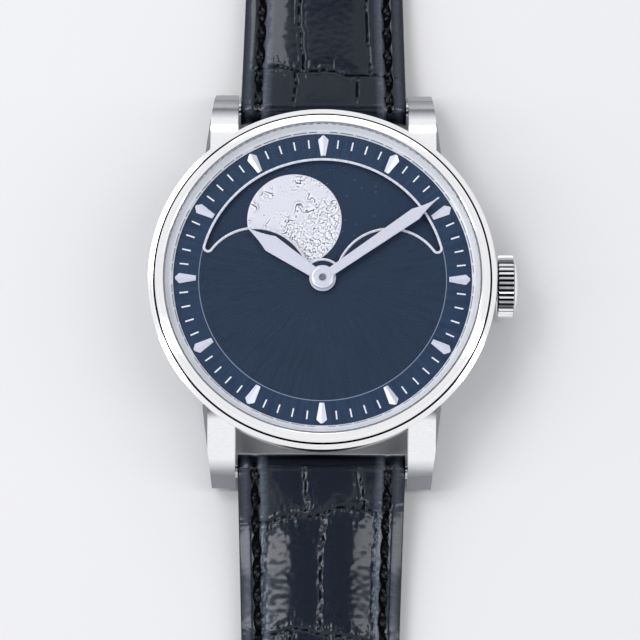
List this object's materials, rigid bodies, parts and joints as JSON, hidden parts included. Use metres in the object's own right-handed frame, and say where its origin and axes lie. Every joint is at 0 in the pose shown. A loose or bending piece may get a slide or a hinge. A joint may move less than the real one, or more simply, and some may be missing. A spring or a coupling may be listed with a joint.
{
  "type": "moon phase wristwatch",
  "caption": "Round dress wristwatch with a moon phase aperture, fluted crown, display back, hand-wound movement and padded alligator strap, laid open flat.",
  "frame": {"origin": "on the hand axis, on the flat case back that the watch rests on", "axes": "+Z out of the dial, +Y towards 12 o'clock along the strap, +X towards the crown"},
  "size_m": [0.0446, 0.2462, 0.0114],
  "materials": {
    "polished_steel": "mirror polished stainless steel",
    "satin_steel": "satin brushed stainless steel",
    "sapphire": "clear sapphire crystal",
    "gasket_rubber": "black nitrile rubber",
    "blue_dial": "dark blue lacquered brass",
    "rhodium": "rhodium plated, satin topped",
    "moon_silver": "matt silvered relief",
    "gilt_brass": "gilt brass with circular grain",
    "nickel_silver": "striped nickel silver",
    "hardened_steel": "hardened and polished steel",
    "blued_steel": "heat blued steel",
    "ruby": "synthetic ruby",
    "black_leather": "black padded alligator leather"
  },
  "bodies": {
    "watch_head": {"aperture_rim": "rhodium", "balance_cock": "nickel_silver", "barrel_bridge": "nickel_silver", "bezel": "polished_steel", "bridge_jewels": "ruby", "bridge_screws": "blued_steel", "case_back": "polished_steel", "case_back_crystal": "sapphire", "case_back_gasket": "gasket_rubber", "case_back_screws": "hardened_steel", "case_middle": "polished_steel", "casing_ring": "satin_steel", "crown_gasket": "gasket_rubber", "crown_tube": "satin_steel", "crystal": "sapphire", "crystal_gasket": "gasket_rubber", "dial_plate": "blue_dial", "dial_spacer_ring": "nickel_silver", "flange_ring": "satin_steel", "hairspring": "blued_steel", "hour_markers": "rhodium", "main_plate": "nickel_silver", "pallet_bridge": "nickel_silver", "spring_bar_12": "satin_steel", "spring_bar_6": "satin_steel", "train_bridge": "nickel_silver"},
    "minute_train": {"minute_hand": "rhodium", "cannon_pinion": "hardened_steel", "centre_wheel": "gilt_brass"},
    "hour_train": {"hour_hand": "rhodium", "hour_wheel": "gilt_brass"},
    "minute_wheel_body": {"minute_wheel": "gilt_brass"},
    "moon_first_body": {"moon_first_wheel": "gilt_brass"},
    "moon_second_body": {"moon_second_wheel": "gilt_brass"},
    "moon_disc_body": {"moon_disc": "blue_dial", "moons": "moon_silver"},
    "third_body": {"third_wheel": "gilt_brass"},
    "fourth_body": {"fourth_wheel": "gilt_brass"},
    "escape_body": {"escape_wheel": "hardened_steel"},
    "pallet_body": {"pallet_fork": "hardened_steel", "pallet_stones": "ruby"},
    "balance_body": {"balance_wheel": "gilt_brass"},
    "barrel_body": {"barrel": "gilt_brass", "barrel_lid": "gilt_brass", "mainspring": "hardened_steel"},
    "ratchet_body": {"ratchet_wheel": "hardened_steel", "barrel_arbor": "hardened_steel"},
    "crown_wheel_body": {"crown_wheel": "hardened_steel"},
    "click_body": {"click": "hardened_steel"},
    "winding_body": {"winding_pinion": "hardened_steel"},
    "crown_body": {"crown": "polished_steel", "winding_stem": "hardened_steel"},
    "strap_12_body": {"strap_buckle_side": "black_leather", "fixed_keeper": "black_leather", "buckle_bar": "satin_steel"},
    "strap_6_body": {"strap_tail_side": "black_leather"},
    "buckle_body": {"buckle": "polished_steel"},
    "tongue_body": {"buckle_tongue": "polished_steel"},
    "keeper_body": {"free_keeper": "black_leather"}
  },
  "joints": [
    {"name": "minute_hand_turn", "type": "hinge", "parent": "watch_head", "child": "minute_train", "pos_m": [0, 0, 0.005], "axis": [0, 0, 1], "continuous": true},
    {"name": "hour_hand_turn", "type": "hinge", "parent": "watch_head", "child": "hour_train", "pos_m": [0, 0, 0.005], "axis": [0, 0, 1], "continuous": true},
    {"name": "minute_wheel_turn", "type": "hinge", "parent": "watch_head", "child": "minute_wheel_body", "pos_m": [0.0026, -0.0015, 0.005], "axis": [0, 0, 1], "continuous": true},
    {"name": "moon_first_turn", "type": "hinge", "parent": "watch_head", "child": "moon_first_body", "pos_m": [0.00414, -0.00417, 0.005], "axis": [0, 0, 1], "continuous": true},
    {"name": "moon_second_turn", "type": "hinge", "parent": "watch_head", "child": "moon_second_body", "pos_m": [0.00301, -0.0075, 0.005], "axis": [0, 0, 1], "continuous": true},
    {"name": "moon_disc_turn", "type": "hinge", "parent": "watch_head", "child": "moon_disc_body", "pos_m": [0, 0, 0.005], "axis": [0, 0, 1], "continuous": true},
    {"name": "third_wheel_turn", "type": "hinge", "parent": "watch_head", "child": "third_body", "pos_m": [-0.00461, -0.00081, 0.005], "axis": [0, 0, 1], "continuous": true},
    {"name": "fourth_wheel_turn", "type": "hinge", "parent": "watch_head", "child": "fourth_body", "pos_m": [-0.00496, -0.00488, 0.005], "axis": [0, 0, 1], "continuous": true},
    {"name": "escape_wheel_turn", "type": "hinge", "parent": "watch_head", "child": "escape_body", "pos_m": [-0.00187, -0.00748, 0.005], "axis": [0, 0, 1], "continuous": true},
    {"name": "barrel_turn", "type": "hinge", "parent": "watch_head", "child": "barrel_body", "pos_m": [0.00416, 0.00533, 0.005], "axis": [0, 0, 1], "continuous": true},
    {"name": "pallet_rock", "type": "hinge", "parent": "watch_head", "child": "pallet_body", "pos_m": [0.00123, -0.00693, 0.005], "axis": [0, 0, 1], "range_deg": [-5, 5]},
    {"name": "balance_swing", "type": "hinge", "parent": "watch_head", "child": "balance_body", "pos_m": [0.00508, -0.00761, 0.005], "axis": [0, 0, 1], "range_deg": [-270, 270], "stiffness_Nm_per_rad": 0.00000025},
    {"name": "crown_turn", "type": "hinge", "parent": "watch_head", "child": "winding_body", "pos_m": [0, 0, 0.005], "axis": [1, 0, 0], "continuous": true},
    {"name": "crown_wheel_turn", "type": "hinge", "parent": "watch_head", "child": "crown_wheel_body", "pos_m": [0.00811, 0, 0.005], "axis": [0, 0, 1], "continuous": true},
    {"name": "ratchet_turn", "type": "hinge", "parent": "watch_head", "child": "ratchet_body", "pos_m": [0.00416, 0.00533, 0.005], "axis": [0, 0, 1], "continuous": true},
    {"name": "crown_pull", "type": "slide", "parent": "winding_body", "child": "crown_body", "axis": [1, 0, 0], "range_m": [0, 0.0009]},
    {"name": "click_lift", "type": "hinge", "parent": "watch_head", "child": "click_body", "pos_m": [0.00178, 0.00982, 0.005], "axis": [0, 0, 1], "range_deg": [0, 8], "stiffness_Nm_per_rad": 0.00001},
    {"name": "strap_12_swing", "type": "hinge", "parent": "watch_head", "child": "strap_12_body", "pos_m": [0, 0.0226, 0.003], "axis": [-1, 0, 0], "range_deg": [-25, 95]},
    {"name": "strap_6_swing", "type": "hinge", "parent": "watch_head", "child": "strap_6_body", "pos_m": [0, -0.0226, 0.003], "axis": [1, 0, 0], "range_deg": [-25, 95]},
    {"name": "buckle_swing", "type": "hinge", "parent": "strap_12_body", "child": "buckle_body", "pos_m": [0, 0.0976, 0.0013], "axis": [1, 0, 0], "range_deg": [-60, 40]},
    {"name": "tongue_swing", "type": "hinge", "parent": "buckle_body", "child": "tongue_body", "pos_m": [0, 0.0976, 0.0013], "axis": [1, 0, 0], "range_deg": [0, 70]},
    {"name": "keeper_slide", "type": "slide", "parent": "strap_12_body", "child": "keeper_body", "axis": [0, 1, 0], "range_m": [-0.008, 0.008]}
  ],
  "couplings": [
    {"joint": "hour_hand_turn", "follows": "minute_hand_turn", "ratio": 0.083333},
    {"joint": "minute_wheel_turn", "follows": "minute_hand_turn", "ratio": -0.33333},
    {"joint": "moon_first_turn", "follows": "minute_hand_turn", "ratio": 0.055556},
    {"joint": "moon_second_turn", "follows": "minute_hand_turn", "ratio": -0.0079365},
    {"joint": "moon_disc_turn", "follows": "minute_hand_turn", "ratio": 0.00070547},
    {"joint": "third_wheel_turn", "follows": "minute_hand_turn", "ratio": -8},
    {"joint": "fourth_wheel_turn", "follows": "minute_hand_turn", "ratio": 60},
    {"joint": "escape_wheel_turn", "follows": "minute_hand_turn", "ratio": -600},
    {"joint": "barrel_turn", "follows": "minute_hand_turn", "ratio": -0.13889},
    {"joint": "crown_wheel_turn", "follows": "crown_turn", "ratio": 0.66667},
    {"joint": "ratchet_turn", "follows": "crown_turn", "ratio": -0.41667}
  ]
}
